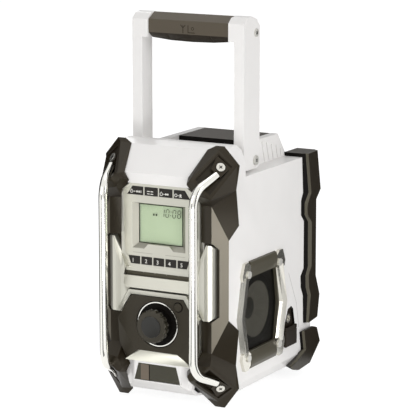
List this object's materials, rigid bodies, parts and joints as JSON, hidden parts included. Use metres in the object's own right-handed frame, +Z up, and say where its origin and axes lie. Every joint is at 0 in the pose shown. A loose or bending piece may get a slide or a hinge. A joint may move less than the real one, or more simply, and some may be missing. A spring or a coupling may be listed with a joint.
{
  "type": "jobsite radio",
  "caption": "Upright jobsite radio: white case with dark corner bumpers, chrome guard bars, side speakers, keypad, tuning knob, display and folding carry handle.",
  "frame": {"origin": "centre of the footprint on the surface the radio stands on", "axes": "+Z up, the face with the display looks towards -Y, +X is to the right of the face"},
  "size_m": [0.163, 0.2582, 0.4145],
  "materials": {
    "white_plastic": "satin warm white",
    "silver_plastic": "satin warm silver",
    "dark_plastic": "satin dark olive brown",
    "dark_rubber": "matt near black",
    "key_plastic": "satin near black",
    "chrome": "polished",
    "steel": "plated",
    "display_glass": "clear",
    "display_green": "pale green display",
    "circuit_board": "green lacquer",
    "board_metal": "plated",
    "grille_metal": "matt black mesh",
    "cone_paper": "grey paper cone",
    "cell_wrap": "shrink sleeve"
  },
  "bodies": {
    "body": {"back_cover": "white_plastic", "backup_cells": "cell_wrap", "battery_pack": "dark_plastic", "battery_terminal": "dark_plastic", "bumper_screws": "steel", "control_plate": "dark_plastic", "dc_socket": "dark_plastic", "dial_ring": "chrome", "door_pin": "steel", "encoder": "board_metal", "fascia": "silver_plastic", "frame_screws": "steel", "front_bumper_left": "dark_plastic", "front_bumper_right": "dark_plastic", "front_case": "white_plastic", "guard_bar_left": "chrome", "guard_bar_right": "chrome", "key_board": "circuit_board", "lcd_lens": "display_glass", "lcd_module": "display_green", "main_board": "circuit_board", "main_case": "white_plastic", "pivot_screws": "steel", "port_panel": "dark_rubber", "rear_bumper_left": "dark_plastic", "rear_bumper_right": "dark_plastic", "rear_foot_left": "dark_rubber", "rear_foot_right": "dark_rubber", "speaker_driver_left": "board_metal", "speaker_driver_right": "board_metal", "speaker_frame_left": "chrome", "speaker_frame_right": "chrome", "speaker_grille_left": "grille_metal", "speaker_grille_right": "grille_metal", "speaker_surround_left": "dark_plastic", "speaker_surround_right": "dark_plastic", "usb_port": "board_metal"},
    "handle": {"handle_leg_left": "white_plastic", "handle_leg_right": "white_plastic", "handle_grip": "dark_rubber", "grip_screws": "steel", "antenna": "steel"},
    "knob": {"knob": "dark_rubber", "knob_cap": "dark_plastic"},
    "button": {"round_button": "dark_plastic"},
    "door": {"battery_door": "dark_plastic"},
    "latch": {"door_latch": "dark_plastic"},
    "flap": {"port_flap": "dark_rubber"},
    "inlet_cover": {"dc_cover": "dark_rubber"},
    "cone_left": {"speaker_cone_left": "cone_paper"},
    "cone_right": {"speaker_cone_right": "cone_paper"},
    "function_1": {"function_key_1": "key_plastic"},
    "function_2": {"function_key_2": "key_plastic"},
    "function_3": {"function_key_3": "key_plastic"},
    "function_4": {"function_key_4": "key_plastic"},
    "preset_1": {"preset_key_1": "key_plastic"},
    "preset_2": {"preset_key_2": "key_plastic"},
    "preset_3": {"preset_key_3": "key_plastic"},
    "preset_4": {"preset_key_4": "key_plastic"},
    "preset_5": {"preset_key_5": "key_plastic"}
  },
  "joints": [
    {"name": "handle_fold", "type": "hinge", "parent": "body", "child": "handle", "pos_m": [0, -0.0106, 0.2592], "axis": [1, 0, 0], "range_deg": [-87.5, 0]},
    {"name": "knob_turn", "type": "hinge", "parent": "body", "child": "knob", "pos_m": [0, -0.1, 0.0905], "axis": [0, -1, 0], "continuous": true},
    {"name": "button_press", "type": "slide", "parent": "body", "child": "button", "axis": [0, 1, 0], "range_m": [0, 0.0012], "stiffness_N_per_m": 600},
    {"name": "function_press_1", "type": "slide", "parent": "body", "child": "function_1", "axis": [0, 1, 0], "range_m": [0, 0.001], "stiffness_N_per_m": 600},
    {"name": "function_press_2", "type": "slide", "parent": "body", "child": "function_2", "axis": [0, 1, 0], "range_m": [0, 0.001], "stiffness_N_per_m": 600},
    {"name": "function_press_3", "type": "slide", "parent": "body", "child": "function_3", "axis": [0, 1, 0], "range_m": [0, 0.001], "stiffness_N_per_m": 600},
    {"name": "function_press_4", "type": "slide", "parent": "body", "child": "function_4", "axis": [0, 1, 0], "range_m": [0, 0.001], "stiffness_N_per_m": 600},
    {"name": "preset_press_1", "type": "slide", "parent": "body", "child": "preset_1", "axis": [0, 1, 0], "range_m": [0, 0.001], "stiffness_N_per_m": 600},
    {"name": "preset_press_2", "type": "slide", "parent": "body", "child": "preset_2", "axis": [0, 1, 0], "range_m": [0, 0.001], "stiffness_N_per_m": 600},
    {"name": "preset_press_3", "type": "slide", "parent": "body", "child": "preset_3", "axis": [0, 1, 0], "range_m": [0, 0.001], "stiffness_N_per_m": 600},
    {"name": "preset_press_4", "type": "slide", "parent": "body", "child": "preset_4", "axis": [0, 1, 0], "range_m": [0, 0.001], "stiffness_N_per_m": 600},
    {"name": "preset_press_5", "type": "slide", "parent": "body", "child": "preset_5", "axis": [0, 1, 0], "range_m": [0, 0.001], "stiffness_N_per_m": 600},
    {"name": "door_open", "type": "hinge", "parent": "body", "child": "door", "pos_m": [0, 0.112, 0.176], "axis": [-1, 0, 0], "range_deg": [0, 100]},
    {"name": "latch_slide", "type": "slide", "parent": "door", "child": "latch", "axis": [0, 0, -1], "range_m": [0, 0.005], "stiffness_N_per_m": 200},
    {"name": "flap_open", "type": "hinge", "parent": "body", "child": "flap", "pos_m": [0, -0.1043, 0.0285], "axis": [1, 0, 0], "range_deg": [0, 90]},
    {"name": "inlet_open", "type": "hinge", "parent": "body", "child": "inlet_cover", "pos_m": [0.0776, 0.058, 0.0605], "axis": [0, -1, 0], "range_deg": [0, 170]},
    {"name": "cone_move_left", "type": "slide", "parent": "body", "child": "cone_left", "axis": [1, 0, 0], "range_m": [-0.0015, 0.0015], "stiffness_N_per_m": 1200},
    {"name": "cone_move_right", "type": "slide", "parent": "body", "child": "cone_right", "axis": [1, 0, 0], "range_m": [-0.0015, 0.0015], "stiffness_N_per_m": 1200}
  ]
}
